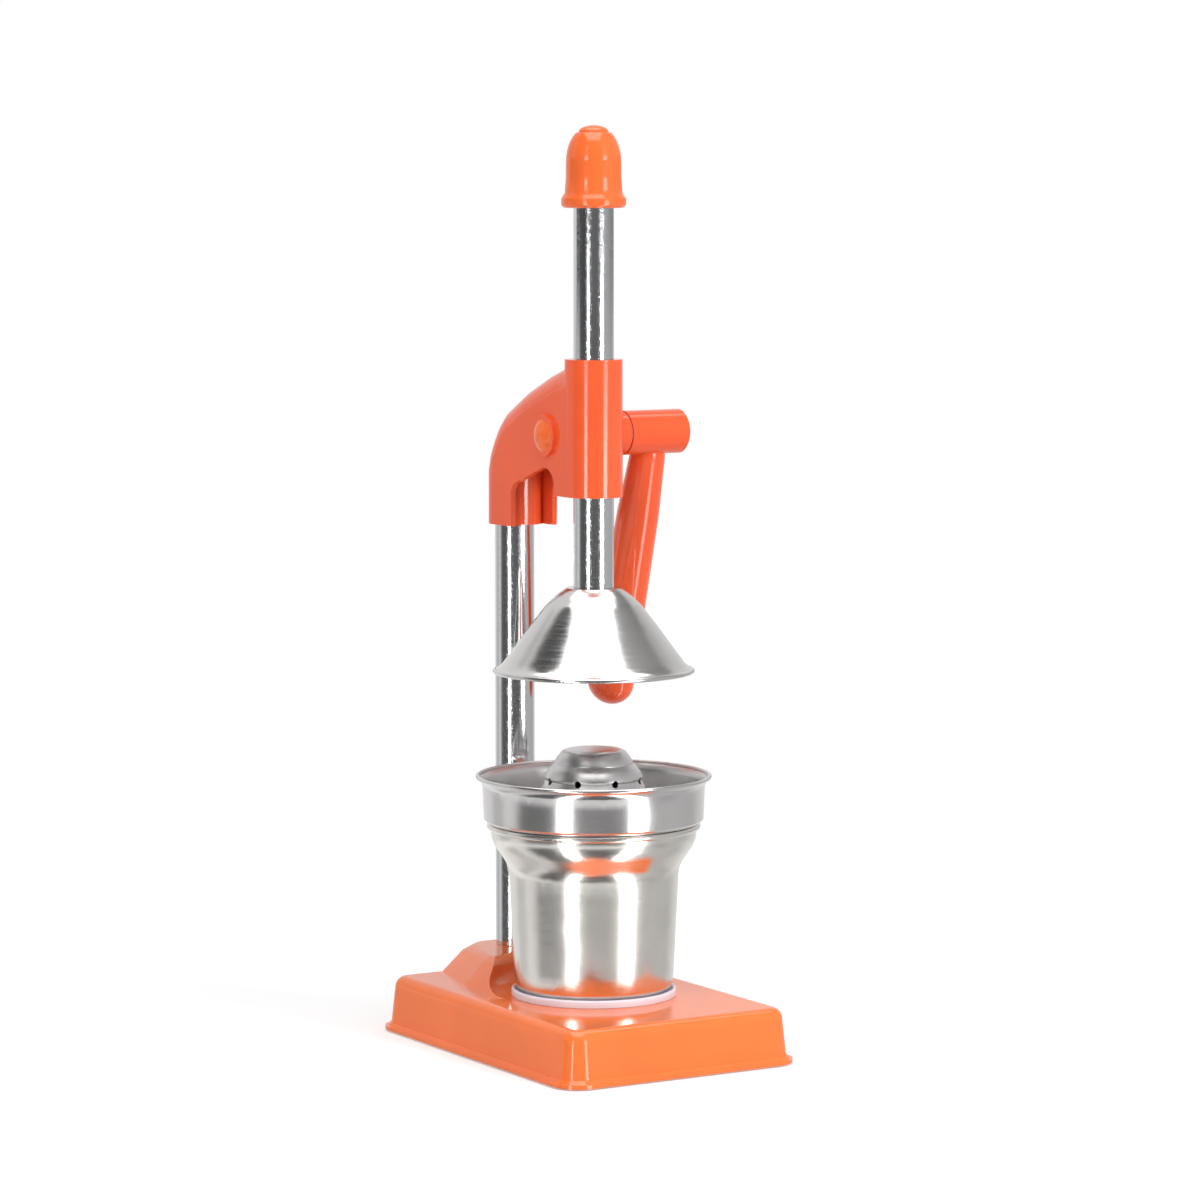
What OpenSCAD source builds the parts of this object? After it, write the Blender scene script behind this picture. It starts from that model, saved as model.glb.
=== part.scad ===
// Lever citrus press: pressed steel base, steel column, cast head, racked rod turned down by a lever,
// spun steel cone over a ribbed squeezing dish that stands on a steel cup.
// Millimetres, +Z up. The origin is on the table under the middle of the base. -Y is the user's side.

/* [Base] */
// Width of the base over its bottom flange
base_w = 121; // [117:1:129]
// Depth of the base over its bottom flange
base_d = 173; // [169:1:185]
// Height of the deck above the table
deck_z = 25; // [22:0.5:30]
// Corner radius of the flange seen from above
base_corner_r = 12.5; // [11:0.5:18]
// How far the bottom flange stands out from the wall
flange_out = 2.5; // [1:0.25:3]
// Height of the flange's edge
flange_t = 1.6; // [1:0.1:2]
// Inward lean of the wall from the flange to the deck
wall_draft = 2.1; // [1:0.1:3]
// Radius of the edge between wall and deck
deck_edge_r = 5; // [3:0.5:7]
// Thickness of the pressed sheet
sheet_t = 1.5; // [1:0.1:2]

/* [Mound under the column] */
// Height of the mound above the deck
mound_h = 12.5; // [10:0.5:14]
// Half width of the mound's foot at its front end
mound_front_w = 44; // [42:0.5:47]
// Half width of the mound's foot at its back end
mound_back_w = 29.5; // [28:0.5:31]
// How far the mound's sides and front lean in up to its flat top
mound_lean = 12.5; // [10:0.5:14]
// How far the mound's back leans in
mound_back_lean = 3; // [2:0.5:5]
// Length of the mound in front of the cup's axis, where its foot begins
mound_front_y = 6; // [4:0.5:10]
// Radius of the round wall of the cup's place in the mound
recess_r = 47.5; // [45:0.5:50]
// Radius of the hollow corner at the foot of that wall
recess_fillet = 6; // [4:0.5:7]

/* [Underside] */
// Gap between the table and the flange
flange_z = 0.8; // [0.5:0.1:1.5]
// Height of the rubber feet below the bottom plate
foot_h = 2.4; // [2:0.1:3]
// Radius of a rubber foot
foot_r = 8; // [6:0.5:10]
// Distance of each foot's centre from the wall's inner face
foot_inset = 13; // [11:0.5:16]
// Thickness of the bottom plate
plate_t = 1.2; // [0.8:0.1:2]
// Radius of the posts that hold the bottom plate
post_r = 4; // [3.5:0.25:5]
// Radius of the screws of the bottom plate
plate_screw_r = 2; // [1.5:0.25:2.5]

/* [Column] */
// Distance between the axes of the rod and the column
column_dist = 70; // [68:0.5:74]
// Distance of the column's axis in front of the base's back edge
column_back = 24; // [23:0.5:27]
// Outer radius of the column tube
column_r = 9; // [8.5:0.1:9.4]
// Wall of the column tube
column_wall = 1.5; // [1:0.1:2]
// Length of the column tube
column_len = 222.5; // [200:0.5:260]
// Length of the threaded plug in the foot of the tube
plug_len = 24; // [18:1:34]
// Radius of the bolt that holds the column
column_bolt_r = 4; // [3:0.25:4.5]
// Thickness of the plate that backs the mound under the column
backing_t = 4; // [3:0.25:5]

/* [Head] */
// Depth of the column's socket in the head
socket_depth = 28; // [24:0.5:30]
// Outer radius of the socket at the head's round back
socket_r = 11.9; // [11.7:0.1:12.4]
// Outer radius of the sleeve that guides the rod
sleeve_r = 12.9; // [12.7:0.1:13.4]
// Length of the sleeve
sleeve_len = 61; // [58:0.5:66]
// Height of the sleeve's bottom above the socket's bottom
sleeve_rise = 16.5; // [14:0.5:19]
// Half width of the head between sleeve and column
body_r = 12.7; // [12.3:0.1:12.8]
// Wall of the head's cheeks
cheek_t = 3; // [2.5:0.1:3.2]
// Distance from the column's axis to the front edge of the cheeks
cheek_reach = 17.6; // [16:0.2:20]
// Radius of the shaft's bearing bosses
boss_r = 9.6; // [9:0.1:9.8]
// How far the left boss stands out from its cheek
boss_left = 1.8; // [1:0.1:2.5]
// Distance from the rod's axis to the end of the right boss
boss_right = 27; // [24:0.5:30]

/* [Rack and pinion] */
// Module of the teeth
tooth_module = 1.5; // [1.4:0.05:1.6]
// Teeth on the pinion
pinion_teeth = 19; // [18:1:20]
// Width of the toothed part of the pinion
pinion_w = 12; // [9:0.5:13]
// Radius of the pinion's collars
collar_r = 8; // [7.5:0.25:9]
// Height of the pivot above the sleeve's bottom
pivot_rise = 26.5; // [24:0.5:30]
// Radius of the lever's shaft
shaft_r = 5; // [4.5:0.1:5.5]
// Distance from the rod's axis to the toothed flat
rack_flat = 7.9; // [7.7:0.1:8.2]
// Play between the flanks of rack and pinion
backlash = 0.2; // [0.15:0.05:0.3]

/* [Rod] */
// Radius of the rod
rod_r = 9; // [8.6:0.1:9.2]
// Length of the rod
rod_len = 186.2; // [180:1:210]
// Length of rod that shows between the sleeve and the cone
rod_drop = 40.5; // [36:0.5:44]
// Radius of the screws in the rod's ends
end_screw_r = 3; // [2.5:0.25:3.5]

/* [Rod cap] */
// Height of the cap without its plug
cap_h = 33.2; // [31:0.1:36]
// Radius of the cap's body
cap_r = 12.3; // [12:0.1:13.2]
// Radius of the band round the cap's foot
cap_band_r = 14.4; // [14:0.1:15.5]
// Height of that band
cap_band_h = 4.2; // [3:0.1:5.5]
// Depth of the rod's seat in the cap
cap_seat = 18; // [14:0.5:20]
// Radius of the plug on top
plug_r = 6.7; // [6:0.1:7.2]
// Height of the plug above its seam
plug_h = 3.2; // [2:0.1:4]

/* [Cone] */
// Height of the cone from its rolled edge to its flat top
cone_h = 37; // [34:0.5:40]
// Outer radius of the cone over its rolled edge
cone_r = 45; // [43:0.5:46]
// Radius of the cone's flat top
cone_top_r = 11; // [10:0.5:12]
// Thickness of the spun sheets of cone, dish and cup
spun_t = 0.8; // [0.6:0.05:1]

/* [Lever] */
// Radius of the lever's hub
hub_r = 10; // [9.5:0.1:11]
// Distance from the rod's axis to the outer end of the hub
hub_end = 58; // [54:0.5:62]
// Length of the lever from the pivot to the middle of its round end
arm_len = 122; // [100:1:130]
// Angle between the hanging lever and straight down
arm_lean = 16.7; // [14:0.1:22]
// Width of the arm's end along the pivot's axis
arm_end_w = 20.5; // [18:0.5:22]
// Depth of the arm's end across it
arm_end_d = 24; // [20:0.5:26]

/* [Cup] */
// Outer radius of the cup's foot
cup_foot_r = 35; // [33:0.5:35.5]
// Height of the cup to the middle of its rolled rim
cup_h = 75.3; // [70:0.5:80]
// Outer radius of the cup's collar
cup_collar_r = 45.9; // [45:0.1:46.5]
// Radius of the wire that the cup's rim is rolled to
cup_bead_r = 1.5; // [1:0.1:1.8]
// Height of the cup's seat on the ring above the deck
seat_t = 1.2; // [0.8:0.1:2]
// Height of the ring round the cup's foot
ring_h = 3.6; // [3:0.1:4.5]
// Width of the ring
ring_w = 1.6; // [1.2:0.1:2]

/* [Squeezing dish] */
// Outer radius of the dish's flared rim
dish_rim_r = 52.7; // [51.5:0.1:54]
// Height of the dish's wall
dish_h = 19.9; // [17:0.1:22]
// Height of the squeezing dome above the dish's ledge
dome_h = 32; // [29:0.5:34]
// Number of drain holes in each row
drain_count = 8; // [6:1:10]
// Radius of a drain hole
drain_r = 1.45; // [1:0.05:1.8]

/* [Hidden] */
$fn = 64;

// Overrun of a cut past the face it opens
over = 1;
// Play of a piece that is fixed in its hole
fit_gap = 0.05;
// Radial play of a shaft or rod that runs in its bore
run_gap = 0.05;
// Play between pieces that lift off or pass each other
loose_gap = 0.3;

// Axes and levels
column_y = base_d / 2 - column_back;
rod_y = column_y - column_dist;
mound_top = deck_z + mound_h;
column_top = mound_top + column_len;
socket_z = column_top - socket_depth;
sleeve_z = socket_z + sleeve_rise;
sleeve_top = sleeve_z + sleeve_len;
pivot_z = sleeve_z + pivot_rise;
rod_z = sleeve_z - rod_drop;
cap_z = rod_z + rod_len - cap_seat;
cup_z = deck_z + seat_t;
cup_rim_z = cup_z + cup_h;
dish_z = cup_rim_z + cup_bead_r + loose_gap;
cone_edge_z = rod_z - cone_h;

// Teeth
pitch_r = tooth_module * pinion_teeth / 2;
tooth_pitch = PI * tooth_module;
pressure_angle = 20;
root_share = 1.25;
pivot_y = rod_y + rack_flat - tooth_module + pitch_r;

// A step of the plan's edge in or out, as sharp corners shrink with the rounded ones
module rounded_plan(w, d, r) {
    hull()
        for (x = [-w / 2 + r, w / 2 - r], y = [-d / 2 + r, d / 2 - r])
            translate([x, y]) circle(r, $fn = 48);
}

// One thin slice of the base, inset from the flange's edge at a given height
slice_t = 0.01;
module base_slice(inset, z) {
    translate([0, 0, z])
        linear_extrude(slice_t)
            rounded_plan(base_w - 2 * inset, base_d - 2 * inset, base_corner_r - inset);
}

// The drafted block with its rounded upper edge, shrunk by t on every side
edge_steps = 5;
module base_block(t) {
    wall_z = deck_z - deck_edge_r;
    edge_r = deck_edge_r - t;
    hull() {
        base_slice(flange_out + t, flange_z - over * (t > 0 ? 1 : 0));
        for (i = [0:edge_steps]) {
            a = 90 * i / edge_steps;
            base_slice(flange_out + wall_draft + t + edge_r * (1 - cos(a)), wall_z + edge_r * sin(a) - slice_t);
        }
    }
}

// The mound's plan: wide round the cup, narrow behind the column, shrunk by an inset all round
// but at its back, which has an inset of its own
mound_corner = 9;
mound_bulge_share = 0.3;
module mound_plan(inset, back_inset) {
    front_y = rod_y + mound_front_y;
    back_y = base_d / 2 - flange_out - wall_draft;
    mid_w = mound_front_w - mound_bulge_share * (mound_front_w - mound_back_w);
    half = [[mound_front_w, front_y + inset], [mid_w, (front_y + back_y) / 2], [mound_back_w, back_y - back_inset]];
    offset(r = mound_corner)
        offset(delta = -mound_corner)
            polygon(concat([for (p = half) [p[0] - inset, p[1]]],
                           [for (i = [2:-1:0]) [inset - half[i][0], half[i][1]]]));
}

// The mound with leaning sides, shrunk by t on every side
module mound_block(t) {
    top_round = mound_h / 4;
    side_top = mound_lean * (mound_h - top_round) / mound_h;
    back_top = mound_back_lean * (mound_h - top_round) / mound_h;
    hull() {
        translate([0, 0, deck_z - deck_edge_r])
            linear_extrude(slice_t) mound_plan(t, t);
        translate([0, 0, deck_z])
            linear_extrude(slice_t) mound_plan(t, t);
        translate([0, 0, mound_top - top_round])
            linear_extrude(slice_t) mound_plan(t + side_top, t + back_top);
        translate([0, 0, mound_top - t - slice_t])
            linear_extrude(slice_t)
                mound_plan(t + mound_lean + top_round / 2, t + mound_back_lean + top_round);
    }
}

// The round place for the cup: a steep wall with a hollow corner at its foot, grown by t
module cup_place(t) {
    flare = mound_h / 3;
    r = recess_r + t;
    floor_z = deck_z - t;
    rounded = [for (a = [0:15:90]) [r - recess_fillet * (1 - sin(a)), floor_z + recess_fillet * (1 - cos(a))]];
    flared = [for (a = [0:15:60]) [r + flare * (1 - cos(a)), mound_top - t - flare + flare * sin(a)]];
    translate([0, rod_y, 0])
        rotate_extrude()
            polygon(concat([[0, floor_z]], rounded, flared,
                           [[r + 2 * flare, mound_top + over], [0, mound_top + over]]));
}

// Outer form of the base, or the space inside it where t is the sheet's thickness
module base_form(t) {
    base_block(t);
    difference() {
        mound_block(t);
        cup_place(t);
    }
}

module base_shell() {
    color("#e8642f")
        difference() {
            union() {
                base_form(0);
                translate([0, 0, flange_z])
                    linear_extrude(flange_t) rounded_plan(base_w, base_d, base_corner_r);
                hull() {
                    base_slice(flange_out / 2, flange_z + flange_t - slice_t);
                    base_slice(flange_out, flange_z + 2 * flange_t);
                }
            }
            base_form(sheet_t);
            translate([0, column_y, mound_top - 2 * sheet_t])
                cylinder(r = column_bolt_r + fit_gap, h = 3 * sheet_t);
        }
}

// Places of the four posts, screws and feet
foot_x = base_w / 2 - flange_out - wall_draft - sheet_t - foot_inset;
foot_y = base_d / 2 - flange_out - wall_draft - sheet_t - foot_inset;
module at_corners() {
    for (x = [-foot_x, foot_x], y = [-foot_y, foot_y])
        translate([x, y, 0]) children();
}

plate_gap = 0.5;
module bottom_plate() {
    inset = flange_out + sheet_t + plate_gap;
    color("#3a3532")
        translate([0, 0, foot_h])
            linear_extrude(plate_t)
                difference() {
                    rounded_plan(base_w - 2 * inset, base_d - 2 * inset, base_corner_r - inset);
                    at_corners() circle(plate_screw_r + fit_gap);
                }
}

screw_head_share = 1.8;
screw_head_h = 1.4;
module base_feet() {
    head_r = plate_screw_r * screw_head_share;
    color("#222222")
        at_corners()
            difference() {
                cylinder(r1 = foot_r - foot_h / 3, r2 = foot_r, h = foot_h);
                translate([0, 0, -over]) cylinder(r = head_r + loose_gap, h = foot_h + 2 * over);
            }
}

post_len = deck_z - sheet_t - foot_h - plate_t;
module plate_posts() {
    color("#9a9a98")
        at_corners()
            translate([0, 0, foot_h + plate_t])
                difference() {
                    cylinder(r = post_r, h = post_len);
                    translate([0, 0, -over])
                        cylinder(r = plate_screw_r + fit_gap, h = post_len / 2 + over);
                }
}

module plate_screws() {
    head_r = plate_screw_r * screw_head_share;
    color("#b9bbbd")
        at_corners() {
            difference() {
                translate([0, 0, foot_h - screw_head_h]) cylinder(r1 = head_r * 3 / 4, r2 = head_r, h = screw_head_h);
                translate([0, 0, foot_h - screw_head_h - over])
                    cylinder(r = plate_screw_r / 2, h = over + screw_head_h / 2, $fn = 6);
            }
            translate([0, 0, foot_h]) cylinder(r = plate_screw_r, h = plate_t + post_len / 2 - fit_gap);
        }
}

backing_z = mound_top - sheet_t - backing_t;
backing_w = 20;
backing_d = 22;
module backing_plate() {
    color("#8f8f8c")
        translate([0, column_y, backing_z])
            linear_extrude(backing_t)
                difference() {
                    square([backing_w, backing_d], center = true);
                    circle(column_bolt_r + fit_gap);
                }
}

spring_washer_share = 0.5;
spring_washer_t = column_bolt_r * spring_washer_share;
module column_spring_washer() {
    split = spring_washer_t / 2;
    color("#8f8f8c")
        translate([0, column_y, backing_z - spring_washer_t])
            linear_extrude(spring_washer_t)
                difference() {
                    circle(column_bolt_r * 7 / 4);
                    circle(column_bolt_r + fit_gap);
                    translate([0, -split / 2]) square([2 * column_bolt_r, split]);
                }
}

bolt_head_share = 1.3;
module column_bolt() {
    head_h = column_bolt_r * bolt_head_share;
    head_z = backing_z - spring_washer_t - head_h;
    color("#b9bbbd")
        translate([0, column_y, 0]) {
            translate([0, 0, head_z]) cylinder(r = column_bolt_r * 15 / 8, h = head_h, $fn = 6);
            translate([0, 0, head_z + head_h])
                cylinder(r = column_bolt_r, h = mound_top + plug_len * 3 / 4 - head_z - head_h);
        }
}

module column_plug() {
    color("#8f8f8c")
        translate([0, column_y, mound_top])
            difference() {
                cylinder(r = column_r - column_wall - fit_gap, h = plug_len);
                translate([0, 0, -over]) cylinder(r = column_bolt_r + fit_gap, h = plug_len + 2 * over);
            }
}

module column_tube() {
    color("#d5d8db")
        translate([0, column_y, mound_top])
            difference() {
                cylinder(r = column_r, h = column_len);
                translate([0, 0, -over]) cylinder(r = column_r - column_wall, h = column_len + 2 * over);
            }
}

// The line that the head's round back follows from the sleeve to the column:
// shares of the distance between the axes, of the height from the socket's end up to a body's radius
// below the sleeve's top, and of the way from the body's radius to the socket's
spine_shares = [[0, 0.997, 0], [0.171, 0.952, 0], [0.334, 0.895, 0], [0.579, 0.79, 0.15], [0.81, 0.66, 0.3],
                [0.876, 0.6, 0.5], [0.93, 0.526, 0.7], [0.974, 0.447, 0.85], [1, 0.359, 1]];
head_h = sleeve_top - socket_z;
module along_spine(in, first) {
    for (i = [first:len(spine_shares) - 1]) {
        s = spine_shares[i];
        translate([0, rod_y + s[0] * column_dist, socket_z + s[1] * (head_h - body_r)])
            sphere(body_r - in - s[2] * (body_r - socket_r), $fn = 40);
    }
}

// Outer form of the head between sleeve and column
module head_body() {
    hull() {
        along_spine(0, 0);
        translate([0, rod_y, sleeve_z]) cylinder(r = body_r, h = sleeve_len / 2);
        translate([0, column_y, socket_z]) cylinder(r = socket_r, h = socket_depth / 2);
        translate([-socket_r, column_y - cheek_reach - over, socket_z])
            cube([2 * socket_r, cheek_reach + over, socket_depth / 2]);
    }
}

// The hollow between the cheeks, open at its foot, with the round front of the socket left in it
module head_hollow() {
    inner = body_r - cheek_t;
    difference() {
        hull() {
            intersection() {
                along_spine(cheek_t, 1);
                translate([-body_r, rod_y + sleeve_r, socket_z])
                    cube([2 * body_r, column_dist - sleeve_r, head_h]);
            }
            translate([-inner, rod_y + sleeve_r, socket_z - over])
                cube([2 * inner, column_dist - sleeve_r - socket_r / 2, head_h / 2]);
            translate([-inner / 2, rod_y + sleeve_r, sleeve_top - body_r])
                cube([inner, over, (body_r - cheek_t) / 2]);
        }
        translate([0, column_y, socket_z - 2 * over]) cylinder(r = socket_r + over, h = head_h);
    }
}

// The arch under the head, between the sleeve and the cheeks' front edges
arch_front_r = 8.6;
arch_back_r = 6;
arch_lift = 2.4;
module head_arch() {
    front = rod_y + sleeve_r + loose_gap;
    back = column_y - cheek_reach;
    apex_z = sleeve_z + boss_r + 2 * fit_gap;
    translate([-body_r - over, 0, 0])
        rotate([90, 0, 90])
            linear_extrude(2 * (body_r + over))
                hull() {
                    translate([front + arch_front_r, apex_z + arch_lift - arch_front_r]) circle(arch_front_r);
                    translate([back - arch_back_r, sleeve_z - sleeve_rise / 8]) circle(arch_back_r);
                    translate([front, socket_z - sleeve_rise]) square([back - front, sleeve_rise / 2]);
                }
}

module head_casting() {
    window_r = pitch_r + tooth_module + 2 * loose_gap;
    color("#f0693a")
        difference() {
            union() {
                difference() {
                    head_body();
                    head_hollow();
                    head_arch();
                    translate([-body_r - over, rod_y - body_r - over, socket_z - over])
                        cube([2 * (body_r + over), body_r + sleeve_r + 2 * over, sleeve_rise + over]);
                }
                translate([0, rod_y, sleeve_z]) cylinder(r = sleeve_r, h = sleeve_len);
                translate([-body_r - boss_left, pivot_y, pivot_z])
                    rotate([0, 90, 0]) cylinder(r = boss_r, h = boss_left + cheek_t);
                translate([body_r - cheek_t, pivot_y, pivot_z])
                    rotate([0, 90, 0]) cylinder(r = boss_r, h = boss_right - body_r + cheek_t);
            }
            translate([0, rod_y, sleeve_z - over]) cylinder(r = rod_r + run_gap, h = sleeve_len + 2 * over);
            translate([0, column_y, socket_z - over])
                cylinder(r = column_r + fit_gap, h = socket_depth + over + fit_gap);
            translate([-body_r - boss_left - over, pivot_y, pivot_z])
                rotate([0, 90, 0]) cylinder(r = shaft_r + run_gap, h = 2 * body_r + boss_left + boss_right);
            translate([-pinion_w / 2 - loose_gap, pivot_y, pivot_z])
                rotate([0, 90, 0]) cylinder(r = window_r, h = pinion_w + 2 * loose_gap);
            translate([-pinion_half - loose_gap / 2, pivot_y, pivot_z])
                rotate([0, 90, 0]) cylinder(r = collar_r + 2 * loose_gap, h = 2 * pinion_half + loose_gap);
            at_set_screws() cylinder(r = set_screw_r + fit_gap, h = socket_r);
        }
}

// Two set screws in the back of the socket hold the head on the column
set_screw_r = 2.5;
set_screw_shares = [0.28, 0.72];
module at_set_screws() {
    for (s = set_screw_shares)
        translate([0, column_y + column_r + fit_gap, socket_z + s * socket_depth])
            rotate([-90, 0, 0]) children();
}

// A set screw with its point at the origin and a hexagon recess in its outer end
module set_screw(r, len) {
    difference() {
        cylinder(r = r, h = len);
        translate([0, 0, len - r]) cylinder(r = r / 2, h = r + over, $fn = 6);
    }
}

module column_set_screws() {
    color("#4a4a4a")
        at_set_screws() set_screw(set_screw_r, socket_r - column_r - loose_gap);
}

cap_dome_r = 7.2;
cap_dome_h = 2.5;
module shaft_cap() {
    dome_ball = (cap_dome_r * cap_dome_r + cap_dome_h * cap_dome_h) / (2 * cap_dome_h);
    spigot_h = boss_left - loose_gap;
    color("#ef5f2c")
        translate([-body_r - boss_left, pivot_y, pivot_z])
            rotate([0, -90, 0])
                rotate_extrude()
                    polygon(concat([[0, -spigot_h], [shaft_r, -spigot_h], [shaft_r, 0], [cap_dome_r, 0]],
                                   [for (i = [1:8])
                                       let (a = asin(cap_dome_r / dome_ball) * (1 - i / 8))
                                           [dome_ball * sin(a), dome_ball * cos(a) - dome_ball + cap_dome_h]]));
}

// Ring of clear plastic on the deck with a ledge that the cup stands on
module seat_ring() {
    inner_r = cup_foot_r + loose_gap;
    ledge = 5;
    color("#d9d3e6")
        translate([0, rod_y, deck_z])
            rotate_extrude()
                polygon([[inner_r - ledge, 0], [inner_r + ring_w, 0], [inner_r + ring_w, ring_h - ring_w / 2],
                         [inner_r + ring_w / 2, ring_h], [inner_r, ring_h - ring_w / 2], [inner_r, seat_t],
                         [inner_r - ledge, seat_t]]);
}

// Gaps of the rack, counted from the one at the pivot's height: a few below it, and above it up to a
// place that stays clear of the cap
rack_margin = 20;
rack_low = -4;
rack_high = floor((cap_z - rack_margin - pivot_z) / tooth_pitch);
module rack_gap() {
    tip = tooth_module + over;
    root = root_share * tooth_module;
    half = tooth_pitch / 4 + backlash / 4;
    polygon([[rack_flat - tooth_module + tip, half + tip * tan(pressure_angle)],
             [rack_flat - tooth_module - root, half - root * tan(pressure_angle)],
             [rack_flat - tooth_module - root, -half + root * tan(pressure_angle)],
             [rack_flat - tooth_module + tip, -half - tip * tan(pressure_angle)]]);
}

module plunger_rod() {
    flat_low = pivot_z + (rack_low - 1) * tooth_pitch;
    flat_high = pivot_z + (rack_high + 1) * tooth_pitch;
    color("#d5d8db")
        difference() {
            translate([0, rod_y, rod_z]) cylinder(r = rod_r, h = rod_len);
            translate([-rod_r, rod_y + rack_flat, flat_low]) cube([2 * rod_r, rod_r, flat_high - flat_low]);
            for (k = [rack_low:rack_high])
                translate([-rod_r, rod_y, pivot_z + k * tooth_pitch])
                    rotate([90, 0, 90]) linear_extrude(2 * rod_r) rack_gap();
            translate([0, rod_y, rod_z - over])
                cylinder(r = end_screw_r + fit_gap, h = end_screw_len + over);
            translate([0, rod_y, rod_z + rod_len - end_screw_len])
                cylinder(r = end_screw_r + fit_gap, h = end_screw_len + over);
        }
}

// Half the angle that a tooth of the pinion takes at radius r, with an involute flank
base_r = pitch_r * cos(pressure_angle);
function roll(r) = let (a = acos(min(1, base_r / r))) tan(a) * 180 / PI - a;
tooth_half = (tooth_pitch / 4 - backlash / 4) / pitch_r * 180 / PI;
function flank_angle(r) = tooth_half + roll(pitch_r) - roll(max(r, base_r));
flank_steps = 5;
function flank_r(i) = base_r + (pitch_r + tooth_module - base_r) * i / flank_steps;
function tooth(turn) =
    let (root_r = pitch_r - root_share * tooth_module, foot = flank_angle(base_r))
        concat([root_r * [cos(turn - foot), sin(turn - foot)]],
               [for (i = [0:flank_steps])
                   let (a = turn - flank_angle(flank_r(i))) flank_r(i) * [cos(a), sin(a)]],
               [for (i = [flank_steps:-1:0])
                   let (a = turn + flank_angle(flank_r(i))) flank_r(i) * [cos(a), sin(a)]],
               [root_r * [cos(turn + foot), sin(turn + foot)]]);

// Half the length of the pinion between the cheeks
pinion_half = body_r - cheek_t - loose_gap;
pin_r = 1.5;
pin_x = (pinion_w / 2 + pinion_half) / 2;
module pinion_gear() {
    color("#a8a9a6")
        translate([0, pivot_y, pivot_z])
            difference() {
                union() {
                    translate([-pinion_w / 2, 0, 0])
                        rotate([90, 0, 90])
                            linear_extrude(pinion_w)
                                polygon([for (k = [0:pinion_teeth - 1])
                                    each tooth(180 + 360 * k / pinion_teeth)]);
                    translate([-pinion_half, 0, 0]) rotate([0, 90, 0]) cylinder(r = collar_r, h = 2 * pinion_half);
                }
                translate([-pinion_half - over, 0, 0])
                    rotate([0, 90, 0]) cylinder(r = shaft_r + fit_gap, h = 2 * (pinion_half + over));
                translate([pin_x, 0, -collar_r - over])
                    cylinder(r = pin_r + fit_gap, h = 2 * (collar_r + over));
            }
}

module gear_pin() {
    color("#6e6f70")
        translate([pin_x, pivot_y, pivot_z - collar_r])
            difference() {
                cylinder(r = pin_r, h = 2 * collar_r);
                translate([0, 0, -over]) cylinder(r = pin_r / 2, h = 2 * (collar_r + over));
            }
}

hub_washer_t = 0.5;
hub_start = boss_right + hub_washer_t + loose_gap / 2;
hub_wall_end = 8;
hub_flat = 0.6;
hub_screw_in = 9;
hub_screw_x = hub_start + hub_screw_in;
module lever_shaft() {
    shaft_end = hub_end - hub_wall_end - fit_gap;
    color("#c2c4c6")
        translate([0, pivot_y, pivot_z])
            difference() {
                translate([-body_r, 0, 0]) rotate([0, 90, 0]) cylinder(r = shaft_r, h = body_r + shaft_end);
                translate([pin_x, 0, -shaft_r - over]) cylinder(r = pin_r + fit_gap, h = 2 * (shaft_r + over));
                translate([hub_start, shaft_r - hub_flat, -shaft_r])
                    cube([hub_end - hub_start, shaft_r, 2 * shaft_r]);
            }
}

module hub_washer() {
    color("#e8e6df")
        translate([boss_right, pivot_y, pivot_z])
            rotate([0, 90, 0])
                difference() {
                    cylinder(r = boss_r - hub_washer_t, h = hub_washer_t);
                    translate([0, 0, -over]) cylinder(r = shaft_r + loose_gap, h = hub_washer_t + 2 * over);
                }
}

module hub_set_screw() {
    tip = shaft_r - hub_flat + fit_gap;
    color("#4a4a4a")
        translate([hub_screw_x, pivot_y + tip, pivot_z])
            rotate([-90, 0, 0]) set_screw(set_screw_r, hub_r - tip - hub_flat);
}

// Sections of the arm: share of its length, share of the end's width and of the end's depth
arm_shares = [[0.1, 0.8, 0.66], [0.325, 0.93, 0.82], [1, 1, 1]];
arm_ball = 10.4;
module lever_arm() {
    hub_mid = (hub_start + hub_end) / 2;
    hub_edge = 0.8;
    color("#f0693a")
        translate([0, pivot_y, pivot_z])
            difference() {
                union() {
                    translate([hub_start, 0, 0])
                        rotate([0, 90, 0]) {
                            cylinder(r = hub_r, h = hub_end - hub_start - hub_edge);
                            translate([0, 0, hub_end - hub_start - hub_edge])
                                cylinder(r1 = hub_r, r2 = hub_r - hub_edge, h = hub_edge);
                        }
                    hull()
                        for (s = arm_shares)
                            translate([hub_mid, 0, 0])
                                rotate([arm_lean, 0, 0])
                                    translate([0, 0, -s[0] * arm_len])
                                        scale([s[1] * arm_end_w / 2 / arm_ball, s[2] * arm_end_d / 2 / arm_ball, 1])
                                            sphere(arm_ball, $fn = 40);
                }
                translate([hub_start - over, 0, 0])
                    rotate([0, 90, 0]) cylinder(r = shaft_r + fit_gap, h = hub_end - hub_wall_end - hub_start + over);
                translate([hub_screw_x, 0, 0])
                    rotate([-90, 0, 0]) cylinder(r = set_screw_r + fit_gap, h = hub_r + over);
            }
}

// Screw with a domed head under its origin and its shank above, for the rod's ends
end_screw_len = 16;
end_head_r = 5.4;
end_head_h = 3.4;
module end_screw(len) {
    cylinder(r = end_screw_r, h = len);
    difference() {
        translate([0, 0, -end_head_h]) cylinder(r1 = end_head_r * 3 / 4, r2 = end_head_r, h = end_head_h);
        translate([0, 0, -end_head_h - over])
            cylinder(r = end_screw_r * 2 / 3, h = end_head_h * 2 / 3 + over, $fn = 6);
    }
}

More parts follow.
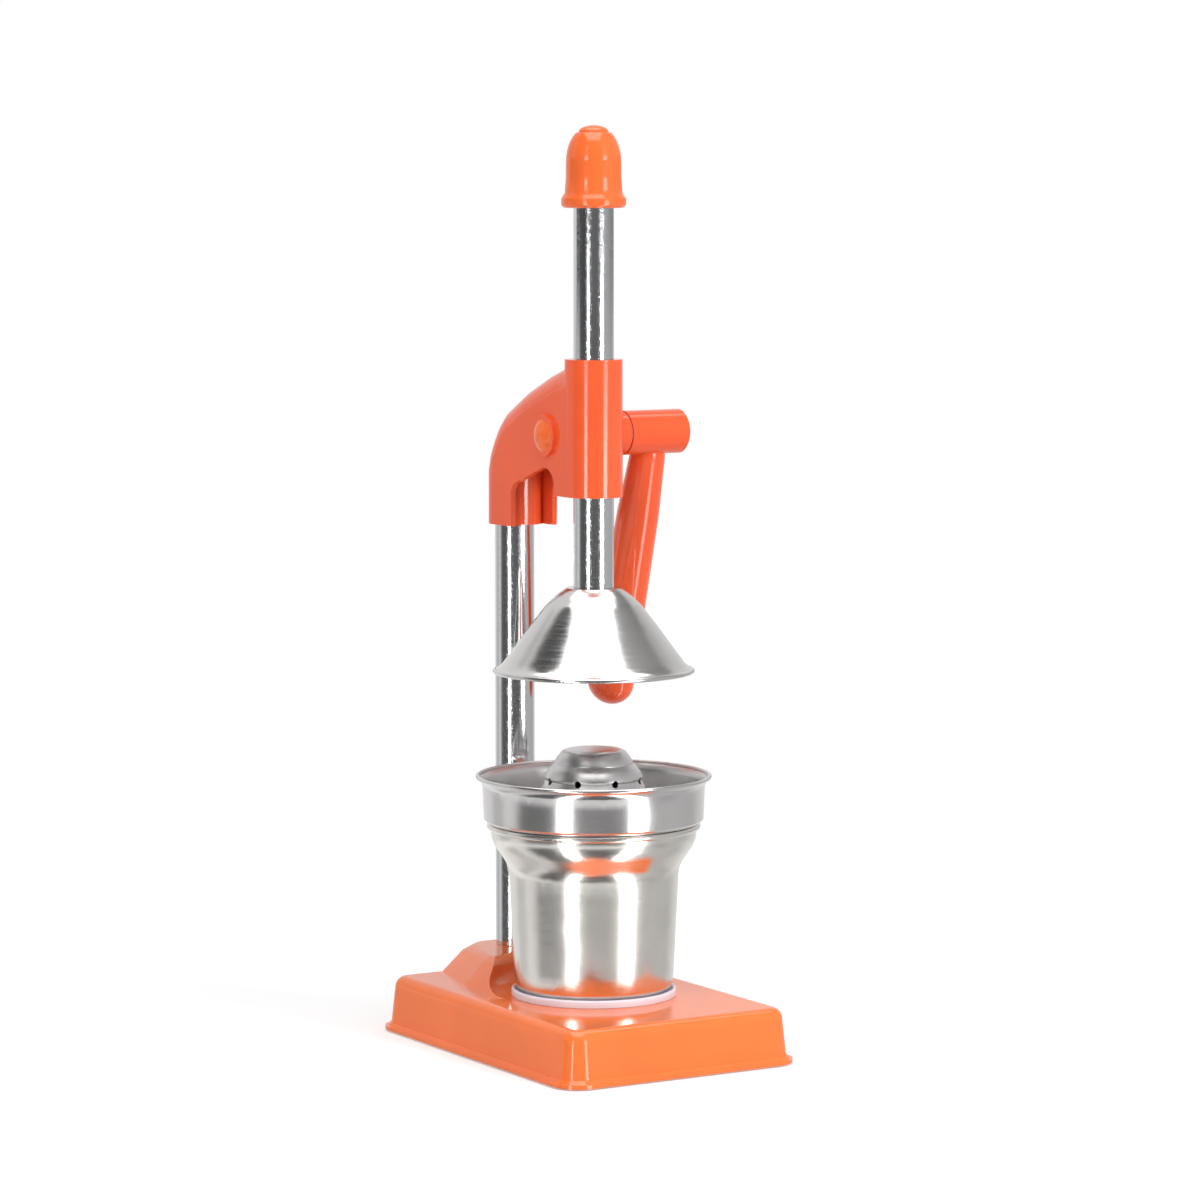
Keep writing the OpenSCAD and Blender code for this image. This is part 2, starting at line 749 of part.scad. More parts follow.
// Outline of the cap's outside from its foot to the seam of its plug
cap_web = 4.5;
cap_round = 1.2;
cap_power = 2.2;
cap_dome_share = 0.58;
cap_dome_z = cap_dome_share * cap_h;
function cap_out(z) =
    let (reach = (z - cap_dome_z) / (cap_h + plug_h - cap_dome_z))
        cap_r * pow(1 - pow(max(0, reach), cap_power), 1 / cap_power);
module rod_cap() {
    well_r = end_head_r + loose_gap;
    body_z = cap_band_h + 2 * cap_round;
    foot_out = cap_r + (cap_band_r - cap_r) / 4;
    color("#f4702f")
        translate([0, rod_y, cap_z])
            rotate_extrude()
                polygon(concat([[rod_r + fit_gap, 0], [cap_band_r - cap_round, 0], [cap_band_r, cap_round],
                                [cap_band_r, cap_band_h], [foot_out, body_z], [cap_r + fit_gap, 2 * body_z]],
                               [for (i = [0:8]) let (z = cap_dome_z + (cap_h - cap_dome_z) * i / 8) [cap_out(z), z]],
                               [[well_r, cap_h], [well_r, cap_seat + cap_web],
                                [end_screw_r + fit_gap, cap_seat + cap_web], [end_screw_r + fit_gap, cap_seat + fit_gap],
                                [rod_r + fit_gap, cap_seat + fit_gap]]));
}

module cap_screw() {
    color("#b9bbbd")
        translate([0, rod_y, cap_z + cap_seat + cap_web])
            rotate([180, 0, 0]) end_screw(end_screw_len + cap_web - 2 * fit_gap);
}

module cap_plug() {
    spigot_h = 2.5;
    color("#f4702f")
        translate([0, rod_y, cap_z + cap_h])
            rotate_extrude()
                polygon(concat([[0, -spigot_h], [end_head_r, -spigot_h], [end_head_r, 0]],
                               [for (i = [0:8]) let (a = 90 * i / 8) [plug_r * cos(a), plug_h * sin(a)]]));
}

// Turns a line of [radius, height] points into a sheet of thickness t, on the left of the line
function unit(v) = v / norm(v);
function left(v) = [-v[1], v[0]];
function side_step(p, i, t) =
    let (a = unit(p[max(i, 1)] - p[max(i, 1) - 1]),
         b = unit(p[min(i + 1, len(p) - 1)] - p[min(i + 1, len(p) - 1) - 1]),
         m = unit(left(a) + left(b)))
        m * t / (m * left(a));
function sheet(p, t) = concat(p, [for (i = [len(p) - 1:-1:0])
    let (q = p[i] + side_step(p, i, t)) [p[i][0] > 0 ? q[0] : 0, q[1]]]);

// Shares of the cone's outer radius and of its height, down its outside from the flat top
cone_shares = [[0.27, 0], [0.304, 0.028], [0.375, 0.096], [0.475, 0.215], [0.625, 0.451], [0.8, 0.743],
               [0.905, 0.915], [0.94, 0.954]];
cone_edge_r = 1;
module press_cone() {
    line = concat([[end_screw_r + fit_gap, 0], [cone_top_r, 0]],
                  [for (s = cone_shares) [s[0] * cone_r, -s[1] * cone_h]],
                  [[cone_r - cone_edge_r, spun_t - cone_h]]);
    color("#c9c8c6")
        translate([0, rod_y, rod_z]) {
            rotate_extrude() polygon(sheet(line, -spun_t));
            rotate_extrude() translate([cone_r - cone_edge_r, -cone_h]) circle(cone_edge_r, $fn = 24);
        }
}

cone_washer_t = 1.2;
cone_washer_r = 9;
module cone_washer() {
    color("#b9bbbd")
        translate([0, rod_y, rod_z - spun_t - cone_washer_t])
            difference() {
                cylinder(r = cone_washer_r, h = cone_washer_t);
                translate([0, 0, -over]) cylinder(r = end_screw_r + fit_gap, h = cone_washer_t + 2 * over);
            }
}

module cone_screw() {
    color("#b9bbbd")
        translate([0, rod_y, rod_z - spun_t - cone_washer_t])
            end_screw(end_screw_len + spun_t + cone_washer_t - 2 * fit_gap);
}

// The cup's outside from the middle of its floor to its rim: shares of the step from foot to collar
// in radius, and of the cup's height
cup_shares = [[0.06, 0.075], [0.27, 0.715], [0.31, 0.75], [0.42, 0.79], [0.86, 0.885], [0.97, 0.925], [1, 0.96]];
module juice_cup() {
    step = cup_collar_r - cup_foot_r;
    foot_round = 3;
    line = concat([[0, 0], [cup_foot_r - foot_round, 0], [cup_foot_r - foot_round / 3, foot_round / 3]],
                  [for (s = cup_shares) [cup_foot_r + s[0] * step, s[1] * cup_h]]);
    color("#cfcac4")
        translate([0, rod_y, cup_z]) {
            rotate_extrude() polygon(sheet(concat(line, [[cup_collar_r, cup_h]]), spun_t));
            rotate_extrude() translate([cup_collar_r + cup_bead_r / 4, cup_h]) circle(cup_bead_r, $fn = 24);
        }
}

// The dome's upper side from its middle outward: share of the dome's foot radius and of its height
dome_foot_r = 31;
dome_shares = [[0.26, 0.998], [0.39, 0.988], [0.455, 0.966], [0.49, 0.93], [0.535, 0.876], [0.568, 0.825],
               [0.57, 0.81], [0.592, 0.79], [0.63, 0.76], [0.672, 0.706], [0.703, 0.654], [0.707, 0.632],
               [0.69, 0.606], [0.698, 0.588], [0.752, 0.5], [0.81, 0.36], [0.9, 0.14], [0.965, 0.01]];
dish_drop = 3.4;
dish_ledge = 4;
drain_turn = 40;
dish_corner_r = 1;
rim_flare = 4.4;
rim_bead_r = 0.9;

// The wall above the ledge: share of the rim's flare and of the wall's height
wall_shares = [[0.136, 0.779], [0.318, 0.9], [0.682, 0.97]];

// Rows of drain holes: share of the dome's foot radius and of its height
drain_shares = [[0.715, 0.572], [0.93, 0]];
drain_slope = 30;
module squeezing_dish() {
    mouth_r = cup_collar_r - spun_t - loose_gap * 2 - cup_bead_r / 2;
    wall_r = dish_rim_r - rim_flare;
    line = concat([[0, dome_h]],
                  [for (s = dome_shares) [s[0] * dome_foot_r, s[1] * dome_h - (1 - s[1]) * dish_drop]],
                  [[dome_foot_r + dish_corner_r, -dish_drop], [mouth_r - spun_t - dish_corner_r, -dish_drop],
                   [mouth_r - spun_t, dish_corner_r - dish_drop], [mouth_r - spun_t / 2, 0],
                   [wall_r - dish_corner_r, 0], [wall_r, dish_corner_r]],
                  [for (s = wall_shares) [wall_r + s[0] * rim_flare, s[1] * dish_h]],
                  [[dish_rim_r - rim_bead_r, dish_h]]);
    color("#cbcac8")
        translate([0, rod_y, dish_z + spun_t])
            difference() {
                union() {
                    rotate_extrude() polygon(sheet(line, -spun_t));
                    rotate_extrude() translate([dish_rim_r - rim_bead_r, dish_h - rim_bead_r / 2])
                        circle(rim_bead_r, $fn = 24);
                }
                for (k = [0:2 * drain_count - 1]) {
                    s = drain_shares[k % 2];
                    rotate([0, 0, drain_turn + 180 * k / drain_count])
                        translate([s[0] * dome_foot_r, 0, s[1] * dome_h])
                            rotate([0, 90 - drain_slope, 0])
                                translate([0, 0, -2 * drain_r]) cylinder(r = drain_r, h = 4 * drain_r);
                }
            }
}

base_shell();
bottom_plate();
base_feet();
plate_screws();
plate_posts();
backing_plate();
column_tube();
column_plug();
column_bolt();
column_spring_washer();
head_casting();
column_set_screws();
shaft_cap();
seat_ring();
plunger_rod();
rod_cap();
cap_screw();
cap_plug();
press_cone();
cone_washer();
cone_screw();
lever_shaft();
pinion_gear();
gear_pin();
hub_washer();
lever_arm();
hub_set_screw();
juice_cup();
squeezing_dish();
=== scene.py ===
"""Lever citrus press in a plain white studio. Metres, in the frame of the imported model."""
import bpy
import math
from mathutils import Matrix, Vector

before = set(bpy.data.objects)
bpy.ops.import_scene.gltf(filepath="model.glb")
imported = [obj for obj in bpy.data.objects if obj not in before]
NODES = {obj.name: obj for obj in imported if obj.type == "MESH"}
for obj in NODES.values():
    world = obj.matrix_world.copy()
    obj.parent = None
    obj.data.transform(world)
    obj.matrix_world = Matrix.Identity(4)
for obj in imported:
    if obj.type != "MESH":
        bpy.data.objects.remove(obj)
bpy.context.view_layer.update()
scene = bpy.context.scene

# Camera

AZ = math.radians(-31.17)
PITCH = math.radians(5.55)
CAMERA_PLACE = (-1.0265, -1.7099, 0.3956)
SENSOR_MM = 36.0
PHOTO_WIDTH_PX = 1200.0
FOCAL_PX = 4489.74
cam_data = bpy.data.cameras.new("camera")
cam_data.sensor_fit = "HORIZONTAL"
cam_data.sensor_width = SENSOR_MM
cam_data.lens = FOCAL_PX / PHOTO_WIDTH_PX * SENSOR_MM
cam_data.clip_start = 0.05
cam_data.clip_end = 50.0
camera = bpy.data.objects.new("camera", cam_data)
camera.location = CAMERA_PLACE
camera.rotation_euler = (math.pi / 2 - PITCH, 0.0, AZ)
scene.collection.objects.link(camera)
scene.camera = camera
TO_CAM = Vector((math.sin(AZ), -math.cos(AZ), 0.0))
RIGHT = Vector((math.cos(AZ), math.sin(AZ), 0.0))


# Node helpers

def put(tree, kind, **values):
    node = tree.nodes.new(kind)
    for key, value in values.items():
        if hasattr(node, key):
            setattr(node, key, value)
        else:
            node.inputs[key].default_value = value
    return node


def math_node(tree, op, a, b=None, c=None, clamp=False):
    node = tree.nodes.new("ShaderNodeMath")
    node.operation = op
    node.use_clamp = clamp
    for slot, value in enumerate((a, b, c)):
        if value is None:
            continue
        if isinstance(value, (int, float)):
            node.inputs[slot].default_value = value
        else:
            tree.links.new(value, node.inputs[slot])
    return node.outputs[0]


def ramp(tree, factor, stops):
    """Stops are pairs of a position and a grey level or a colour."""
    node = tree.nodes.new("ShaderNodeValToRGB")
    node.color_ramp.interpolation = "LINEAR"
    elements = node.color_ramp.elements
    while len(elements) > 1:
        elements.remove(elements[-1])
    for i, (position, value) in enumerate(stops):
        element = elements[0] if i == 0 else elements.new(position)
        element.position = position
        if isinstance(value, (int, float)):
            value = (value, value, value)
        element.color = (*value, 1.0)
    tree.links.new(factor, node.inputs[0])
    return node.outputs[0]


# World

# It is white to the eye, an even fill for the light, and a studio of strips and dark flags for gloss.
# Azimuths are in degrees from the photo's side, positive to its right, elevations from the horizon
STRIP_LEVEL = 7.0
UPPER_STRIP_LEVEL = 1.3
FLOOR_STRIP_LEVEL = 2.4
ROOF_LEVEL = 3.6
FILL_LEVEL = 0.62
HORIZON_GUARD = 0.02
ROOF_SIDE_SHIFT = 0.02
ROOF_FORE_SHIFT = -0.1
ROOF_SIDE_EDGE = (0.46, 0.60)
ROOF_FORE_EDGE = (0.58, 0.70)
WHITE = (1.0, 1.0, 1.0, 1.0)

world = bpy.data.worlds.new("studio")
scene.world = world
world.use_nodes = True
wt = world.node_tree
wt.nodes.clear()
coord = put(wt, "ShaderNodeTexCoord")
direction = coord.outputs["Generated"]


def along(vector):
    """The part of the ray's direction along this vector."""
    node = wt.nodes.new("ShaderNodeVectorMath")
    node.operation = "DOT_PRODUCT"
    wt.links.new(direction, node.inputs[0])
    node.inputs[1].default_value = vector
    return node.outputs["Value"]


to_cam = along(TO_CAM)
to_right = along(RIGHT)
up = along((0.0, 0.0, 1.0))
azimuth = math_node(wt, "ARCTAN2", to_right, to_cam)
azimuth01 = math_node(wt, "MULTIPLY_ADD", azimuth, 1.0 / (2 * math.pi), 0.5)
elevation01 = math_node(wt, "MULTIPLY_ADD", math_node(wt, "ARCSINE", up), 1.0 / math.pi, 0.5)


def ring_of(stops):
    """A ring round the piece: pairs of an azimuth and a brightness."""
    return ramp(wt, azimuth01, [((angle + 180.0) / 360.0, value) for angle, value in stops])


def level(angle):
    """Where this elevation stands on the ramp."""
    return angle / 180.0 + 0.5


def rise(low, high):
    """0 below the one elevation, 1 above the other."""
    return ramp(wt, elevation01, [(0.0, 0.0), (level(low), 0.0), (level(high), 1.0)])


def blend(factor, low, high):
    node = put(wt, "ShaderNodeMix", data_type="RGBA")
    wt.links.new(factor, node.inputs[0])
    for slot, value in ((6, low), (7, high)):
        if isinstance(value, tuple):
            node.inputs[slot].default_value = value
        else:
            wt.links.new(value, node.inputs[slot])
    return node.outputs[2]


high_ring = ring_of([
    (-180, 0.86), (-118, 0.82), (-108, 0.10), (-54, 0.07), (-47, 0.10), (-36, 0.16), (-20, 0.2),
    (-6, 0.17), (20, 0.15), (36, 0.28), (61, 0.5), (84, 0.42), (120, 0.27), (146, 0.30),
    (165, 0.70), (180, 0.86)])


def side_ring(strip):
    """The walls of the studio, with its two strips at this brightness."""
    return ring_of([
        (-180, 0.86), (-134, 0.78), (-127, 0.56), (-111, 0.56), (-106, 0.78), (-92, 0.72),
        (-80, 0.14), (-54, 0.10), (-38, 0.14), (-35, strip), (-26, strip), (-23, 0.18), (-6, 0.14),
        (20, 0.13), (38, 0.22), (42, strip), (55, strip), (59, 0.5), (84, 0.56), (125, 0.5),
        (140, 0.66), (180, 0.86)])


mid_ring = side_ring(STRIP_LEVEL)
upper_ring = side_ring(UPPER_STRIP_LEVEL)
floor_ring = ring_of([
    (-180, 0.95), (-118, 0.95), (-100, 0.85), (-60, 0.8), (-38, 0.8), (-35, FLOOR_STRIP_LEVEL),
    (-26, FLOOR_STRIP_LEVEL), (-22, 0.95), (0, 0.95), (20, 0.95), (38, 0.95),
    (42, FLOOR_STRIP_LEVEL), (55, FLOOR_STRIP_LEVEL), (60, 0.5), (84, 0.42), (100, 0.5),
    (125, 0.6), (140, 0.75), (180, 0.9)])

# From the floor up: pale floor, strips, dim strips, and no strips near the top. A dark gap lies across
# the strips where the upper rod mirrors them
low_half = blend(rise(-29, -23), mid_ring, floor_ring)
upper_half = blend(rise(11, 14), mid_ring, upper_ring)
gap = ramp(wt, elevation01, [
    (0.0, 0.0), (level(-2.4), 0.0), (level(-1.4), 1.0), (level(4.5), 1.0), (level(6), 0.0)])
no_strips = math_node(wt, "MAXIMUM", rise(32, 37), gap)
walls = blend(no_strips, blend(rise(-17.0, -14.5), low_half, upper_half), high_ring)


def inside(direction_part, shift, edge):
    """1 where the ray meets the roof panel within this half width, 0 past it."""
    reach = math_node(wt, "DIVIDE", direction_part, safe_up)
    off = math_node(wt, "ABSOLUTE", math_node(wt, "ADD", reach, shift))
    return ramp(wt, off, [(0.0, 1.0), (edge[0], 1.0), (edge[1], 0.0)])


safe_up = math_node(wt, "MAXIMUM", up, HORIZON_GUARD)
on_roof = math_node(
    wt, "MULTIPLY", inside(to_right, ROOF_SIDE_SHIFT, ROOF_SIDE_EDGE),
    inside(to_cam, ROOF_FORE_SHIFT, ROOF_FORE_EDGE))
studio_colour = blend(on_roof, walls, (ROOF_LEVEL, ROOF_LEVEL, ROOF_LEVEL, 1.0))

path = put(wt, "ShaderNodeLightPath")
fill = put(wt, "ShaderNodeBackground", Color=WHITE, Strength=FILL_LEVEL)
studio = put(wt, "ShaderNodeBackground", Strength=1.0)
wt.links.new(studio_colour, studio.inputs[0])
white = put(wt, "ShaderNodeBackground", Color=WHITE, Strength=1.0)
mix_gloss = put(wt, "ShaderNodeMixShader")
wt.links.new(path.outputs["Is Glossy Ray"], mix_gloss.inputs[0])
wt.links.new(fill.outputs[0], mix_gloss.inputs[1])
wt.links.new(studio.outputs[0], mix_gloss.inputs[2])
seen = math_node(wt, "MAXIMUM", path.outputs["Is Camera Ray"], path.outputs["Is Transmission Ray"])
mix_seen = put(wt, "ShaderNodeMixShader")
wt.links.new(seen, mix_seen.inputs[0])
wt.links.new(mix_gloss.outputs[0], mix_seen.inputs[1])
wt.links.new(white.outputs[0], mix_seen.inputs[2])
wt.links.new(mix_seen.outputs[0], put(wt, "ShaderNodeOutputWorld").inputs[0])


# Lamps

# Three light the piece and are hidden from gloss, which the studio above gives. The two low strips
# are seen in gloss alone: the base mirrors them, and the rod, higher up, does not
LAMPS_AIM = Vector((0.0, 0.0, 0.2))


def lamp(name, azimuth, height, distance, width, tall, power, gloss_only=False):
    data = bpy.data.lights.new(name, "AREA")
    data.shape = "RECTANGLE"
    data.size = width
    data.size_y = tall
    data.energy = power
    obj = bpy.data.objects.new(name, data)
    angle = math.radians(azimuth)
    outward = TO_CAM * math.cos(angle) + RIGHT * math.sin(angle)
    obj.location = outward * distance + Vector((0.0, 0.0, height))
    aim = LAMPS_AIM - obj.location
    obj.rotation_euler = aim.to_track_quat("-Z", "Y").to_euler()
    obj.visible_glossy = gloss_only
    obj.visible_diffuse = not gloss_only
    obj.visible_camera = False
    scene.collection.objects.link(obj)


lamp("key_right", 52, 0.9, 1.6, 0.5, 1.2, 17.0)
lamp("strip_left", -30, 0.7, 1.8, 0.3, 1.2, 6.0)
lamp("roof_soft", 0, 1.7, 0.35, 1.1, 1.1, 9.0)
lamp("low_right", 48, 0.05, 2.0, 0.45, 0.22, 2.2, True)
lamp("low_left", -31, 0.05, 2.0, 0.31, 0.22, 1.5, True)


# Floor

# It keeps the shadow, and a glow that the camera alone sees lifts it to the white behind it
FLOOR_RADIUS = 0.62
FLOOR_GREY = (0.80, 0.80, 0.80, 1.0)
FLOOR_GLOW = 0.27

bpy.ops.mesh.primitive_circle_add(
    vertices=96, radius=FLOOR_RADIUS, fill_type="NGON", location=(0.0, 0.0, 0.0))
floor = bpy.context.object
floor.name = "floor"
fmat = bpy.data.materials.new("floor")
fmat.use_nodes = True
ft = fmat.node_tree
ft.nodes.clear()
fpath = put(ft, "ShaderNodeLightPath")
matt = put(ft, "ShaderNodeBsdfDiffuse", Color=FLOOR_GREY)
glow = put(ft, "ShaderNodeEmission", Color=WHITE)
ft.links.new(math_node(ft, "MULTIPLY", fpath.outputs["Is Camera Ray"], FLOOR_GLOW), glow.inputs[1])
both = put(ft, "ShaderNodeAddShader")
ft.links.new(matt.outputs[0], both.inputs[0])
ft.links.new(glow.outputs[0], both.inputs[1])
ft.links.new(both.outputs[0], put(ft, "ShaderNodeOutputMaterial").inputs[0])
floor.data.materials.append(fmat)
floor.visible_glossy = False


# Materials

NOISE_LOW, NOISE_HIGH = 0.35, 0.65


def principled(name, color, rough, metallic=0.0, **extra):
    mat = bpy.data.materials.new(name)
    mat.use_nodes = True
    t = mat.node_tree
    t.nodes.clear()
    out = put(t, "ShaderNodeOutputMaterial")
    p = put(t, "ShaderNodeBsdfPrincipled")
    p.inputs["Base Color"].default_value = (*color, 1.0)
    p.inputs["Roughness"].default_value = rough
    p.inputs["Metallic"].default_value = metallic
    for key, value in extra.items():
        p.inputs[key.replace("_", " ")].default_value = value
    t.links.new(p.outputs[0], out.inputs[0])
    return mat, t, p


def obj_coord(t, scale=(1.0, 1.0, 1.0)):
    c = put(t, "ShaderNodeTexCoord")
    m = put(t, "ShaderNodeMapping")
    m.inputs["Scale"].default_value = scale
    t.links.new(c.outputs["Object"], m.inputs["Vector"])
    return m.outputs[0]


def noise(t, vector, scale, detail=3.0, rough=0.5):
    n = put(t, "ShaderNodeTexNoise", Scale=scale, Detail=detail, Roughness=rough)
    t.links.new(vector, n.inputs["Vector"])
    return n.outputs[0]


def bump(t, p, height, strength, distance, normal=None):
    b = put(t, "ShaderNodeBump", Strength=strength, Distance=distance)
    t.links.new(height, b.inputs["Height"])
    if normal is not None:
        t.links.new(normal, b.inputs["Normal"])
    t.links.new(b.outputs[0], p.inputs["Normal"])
    return b.outputs[0]


def tint(t, p, factor, low, high):
    t.links.new(ramp(t, factor, [(NOISE_LOW, low), (NOISE_HIGH, high)]), p.inputs["Base Color"])


def vary_rough(t, p, factor, low, high, start=NOISE_LOW, end=NOISE_HIGH):
    t.links.new(ramp(t, factor, [(start, low), (end, high)]), p.inputs["Roughness"])


def paint(name, color, rough, wave=0.5):
    """Enamel with a faint orange peel: wave is the strength of the peel."""
    mat, t, p = principled(name, color, rough)
    v = obj_coord(t)
    broad = noise(t, v, 26.0, 2.0)
    dark = tuple(c * 0.955 for c in color)
    light = tuple(min(1.0, c * 1.03) for c in color)
    tint(t, p, broad, dark, light)
    vary_rough(t, p, noise(t, v, 90.0, 4.0), rough * 0.85, rough * 1.25)
    peel = bump(t, p, noise(t, v, 420.0, 2.0), 0.05 * wave, 0.0006)
    bump(t, p, noise(t, v, 3800.0, 1.0), 0.03 * wave, 0.0002, peel)
    return mat


base_paint = paint("base_paint", (0.93, 0.195, 0.045), 0.09)
head_paint = paint("head_paint", (0.90, 0.115, 0.034), 0.11)
cap_paint = paint("cap_paint", (0.93, 0.160, 0.036), 0.09, 0.3)


def chrome(name, color, rough):
    """Chrome with fine pits and a slow wave."""
    mat, t, p = principled(name, color, rough, 1.0)
    v = obj_coord(t)
    pits = ramp(t, noise(t, v, 1500.0, 2.0, 0.6), [(0.30, 0.0), (0.42, 1.0)])
    vary_rough(t, p, noise(t, v, 240.0, 5.0), rough, rough * 2.2)
    pitted = bump(t, p, pits, 0.18, 0.00012)
    bump(t, p, noise(t, v, 180.0, 3.0), 0.018, 0.0003, pitted)
    return mat


tube_chrome = chrome("tube_chrome", (0.70, 0.705, 0.72), 0.05)


def steel(name, color, rough, lines, brushed):
    """Steel with fine tool marks: lines is their noise scale on each axis, brushed their strength."""
    mat, t, p = principled(name, color, rough, 1.0)
    fine = noise(t, obj_coord(t, lines), 1.0, 4.0, 0.6)
    vary_rough(t, p, fine, rough * 0.75, rough * 1.35, 0.3, 0.7)
    clouds = noise(t, obj_coord(t), 55.0, 3.0)
    dark = tuple(c * 0.94 for c in color)
    tint(t, p, clouds, dark, color)
    marked = bump(t, p, fine, brushed, 0.0001)
    bump(t, p, noise(t, obj_coord(t), 260.0, 3.0), 0.05, 0.0002, marked)
    return mat


cup_steel = steel("cup_steel", (0.87, 0.84, 0.795), 0.20, (70.0, 70.0, 2400.0), 0.07)
dish_steel = steel("dish_steel", (0.76, 0.745, 0.74), 0.17, (60.0, 60.0, 1900.0), 0.07)

# The dish's inside stays satin from the press, its wall outside is polished
# WALL_INSET is how far its wall stands in from the rim's edge, in metres
WALL_INSET = 0.00704
WALL_FADE = 0.0004
SATIN, POLISHED = 0.34, 0.18
dish_points = [v.co for v in NODES["squeezing_dish"].data.vertices]
dish_wall = max(abs(c.x) for c in dish_points) - WALL_INSET
dish_axis_y = (max(c.y for c in dish_points) + min(c.y for c in dish_points)) / 2


def outside_wall(t, radius, soft):
    """1 on faces that look outwards beyond this distance from the dish's axis, otherwise 0."""
    c = put(t, "ShaderNodeTexCoord")
    m = put(t, "ShaderNodeMapping")
    m.inputs["Location"].default_value = (0.0, -dish_axis_y, 0.0)
    m.inputs["Scale"].default_value = (1.0, 1.0, 0.0)
    t.links.new(c.outputs["Object"], m.inputs["Vector"])
    reach = t.nodes.new("ShaderNodeVectorMath")
    reach.operation = "LENGTH"
    t.links.new(m.outputs[0], reach.inputs[0])
    outward = t.nodes.new("ShaderNodeVectorMath")
    outward.operation = "DOT_PRODUCT"
    t.links.new(m.outputs[0], outward.inputs[0])
    t.links.new(c.outputs["Normal"], outward.inputs[1])
    past = math_node(t, "SUBTRACT", reach.outputs["Value"], radius)
    return math_node(
        t, "MULTIPLY", math_node(t, "DIVIDE", past, soft, clamp=True),
        math_node(t, "DIVIDE", outward.outputs["Value"], radius, clamp=True))


t = dish_steel.node_tree
p = next(n for n in t.nodes if n.type == "BSDF_PRINCIPLED")
on_wall = outside_wall(t, dish_wall, WALL_FADE)
t.links.new(ramp(t, on_wall, [(0.0, SATIN), (0.6, POLISHED)]), p.inputs["Roughness"])

cone_steel = steel("cone_steel", (0.74, 0.725, 0.715), 0.17, (60.0, 60.0, 1500.0), 0.14)
zinc = steel("zinc", (0.62, 0.63, 0.65), 0.30, (500.0, 500.0, 500.0), 0.10)
machined = steel("machined", (0.50, 0.50, 0.50), 0.32, (300.0, 300.0, 900.0), 0.15)

black_steel, t, p = principled("black_steel", (0.03, 0.03, 0.032), 0.42)
bump(t, p, noise(t, obj_coord(t), 900.0, 2.0), 0.1, 0.0002)
rubber, t, p = principled("rubber", (0.018, 0.018, 0.018), 0.7)
bump(t, p, noise(t, obj_coord(t), 1200.0, 2.0), 0.15, 0.0002)
milky, t, p = principled(
    "milky", (0.78, 0.75, 0.83), 0.28, Subsurface_Weight=0.5, Subsurface_Scale=0.003)
p.inputs["Subsurface Radius"].default_value = (1.0, 0.9, 1.0)
bump(t, p, noise(t, obj_coord(t), 300.0, 2.0), 0.05, 0.0002)

LOOK = {
    "base_shell": base_paint, "head_casting": head_paint, "lever_arm": head_paint,
    "rod_cap": cap_paint, "cap_plug": cap_paint, "shaft_cap": cap_paint,
    "column_tube": tube_chrome, "plunger_rod": tube_chrome,
    "press_cone": cone_steel, "squeezing_dish": dish_steel, "juice_cup": cup_steel,
    "seat_ring": milky, "hub_washer": milky, "base_feet": rubber,
    "bottom_plate": black_steel, "column_spring_washer": black_steel,
    "column_set_screws": black_steel, "hub_set_screw": black_steel, "gear_pin": black_steel,
    "plate_screws": zinc, "column_bolt": zinc, "cap_screw": zinc, "cone_washer": zinc,
    "cone_screw": zinc,
    "plate_posts": machined, "backing_plate": machined, "column_plug": machined,
    "lever_shaft": machined, "pinion_gear": machined,
}


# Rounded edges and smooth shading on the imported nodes

SMOOTH_ANGLE = math.radians(32)
EDGE_ANGLE = math.radians(38.0)
FLAT_ANGLE = math.radians(0.4)
WELD_DISTANCE = 2e-6
EDGE_SEGMENTS = 2
LARGE_FACE_WEIGHT = 80
SMALL_EDGE = 0.0001


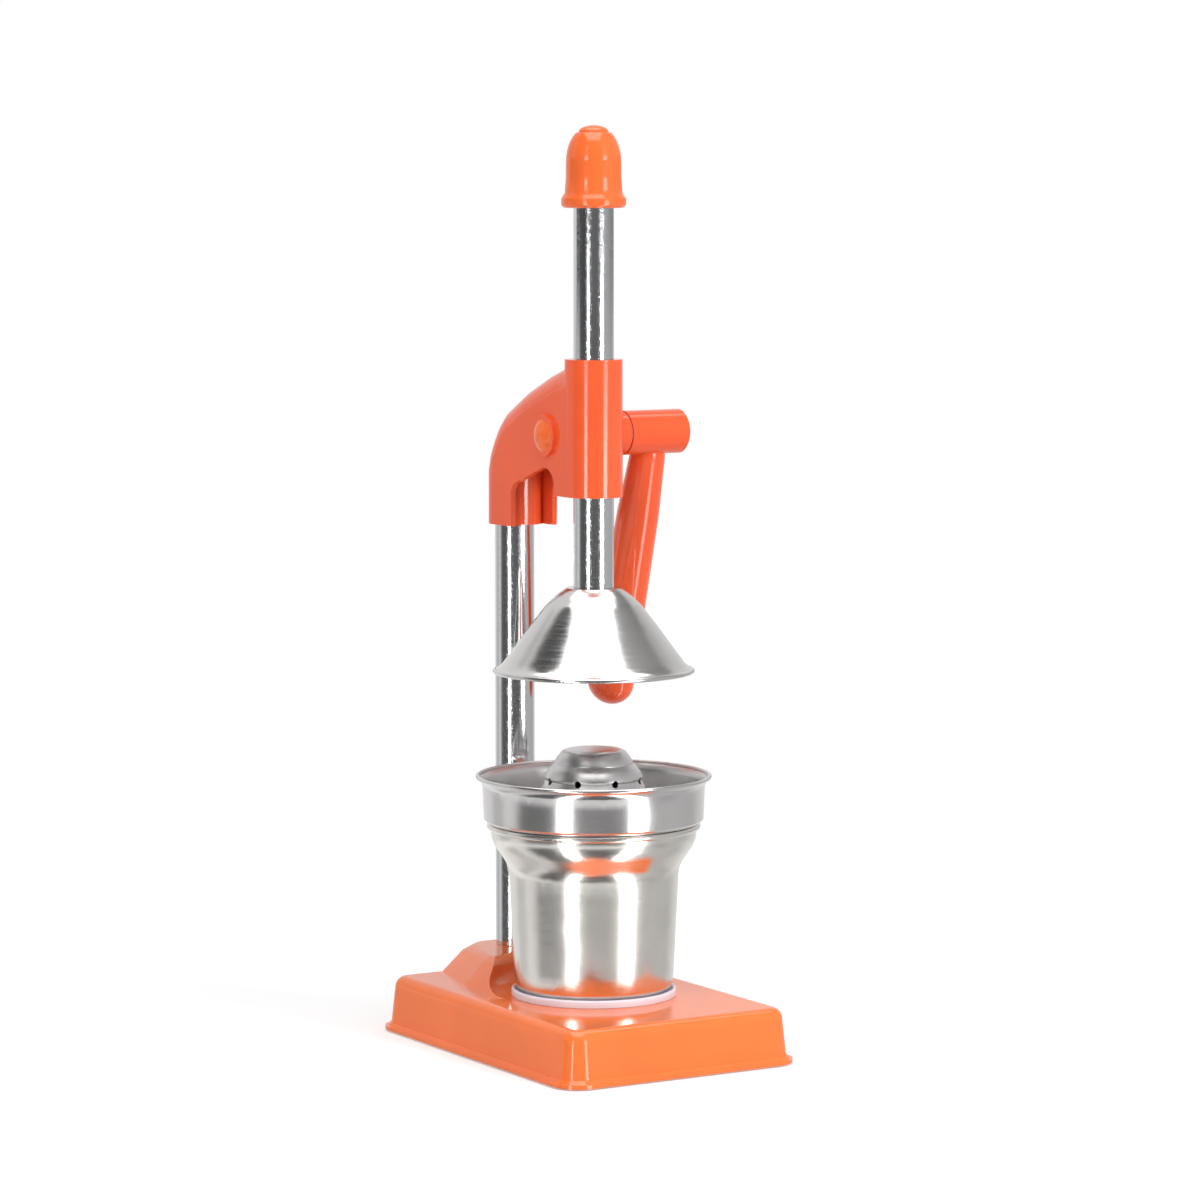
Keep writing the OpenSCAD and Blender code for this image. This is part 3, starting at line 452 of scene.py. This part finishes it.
def smooth_group():
    g = bpy.data.node_groups.new("smooth_by_angle", "GeometryNodeTree")
    g.interface.new_socket("Geometry", in_out="INPUT", socket_type="NodeSocketGeometry")
    g.interface.new_socket("Geometry", in_out="OUTPUT", socket_type="NodeSocketGeometry")
    start = g.nodes.new("NodeGroupInput")
    end = g.nodes.new("NodeGroupOutput")
    angle = g.nodes.new("GeometryNodeInputMeshEdgeAngle")
    less = g.nodes.new("FunctionNodeCompare")
    less.data_type = "FLOAT"
    less.operation = "LESS_EQUAL"
    less.inputs[1].default_value = SMOOTH_ANGLE
    faces = g.nodes.new("GeometryNodeSetShadeSmooth")
    faces.domain = "FACE"
    edges = g.nodes.new("GeometryNodeSetShadeSmooth")
    edges.domain = "EDGE"
    g.links.new(angle.outputs[0], less.inputs[0])
    g.links.new(start.outputs[0], faces.inputs[0])
    faces.inputs["Shade Smooth"].default_value = True
    g.links.new(faces.outputs[0], edges.inputs[0])
    g.links.new(less.outputs[0], edges.inputs["Shade Smooth"])
    g.links.new(edges.outputs[0], end.inputs[0])
    return g


SMOOTH = smooth_group()


def dress(obj, edge):
    """Rounds the edges of a node to this width in metres and shades it smooth."""
    custom = obj.data.attributes.get("custom_normal")
    if custom:
        obj.data.attributes.remove(custom)
    weld = obj.modifiers.new("weld", "WELD")
    weld.merge_threshold = WELD_DISTANCE
    if edge > 0.0:
        flat = obj.modifiers.new("flat", "DECIMATE")
        flat.decimate_type = "DISSOLVE"
        flat.angle_limit = FLAT_ANGLE
        bevel = obj.modifiers.new("edge", "BEVEL")
        bevel.width = edge
        bevel.segments = EDGE_SEGMENTS
        bevel.limit_method = "ANGLE"
        bevel.angle_limit = EDGE_ANGLE
        bevel.use_clamp_overlap = True
    obj.modifiers.new("smooth", "NODES").node_group = SMOOTH
    even = obj.modifiers.new("even", "WEIGHTED_NORMAL")
    even.mode = "FACE_AREA"
    even.weight = LARGE_FACE_WEIGHT
    even.keep_sharp = True


EDGES = {
    "base_shell": 0.0006, "head_casting": 0.0011, "lever_arm": 0.0007, "rod_cap": 0.0005,
    "seat_ring": 0.0003, "press_cone": 0.0, "juice_cup": 0.0, "squeezing_dish": 0.0,
    "column_tube": 0.0002,
}
for name, obj in NODES.items():
    obj.data.materials.clear()
    obj.data.materials.append(LOOK[name])
    dress(obj, EDGES.get(name, SMALL_EDGE))

scene.view_settings.view_transform = "Standard"
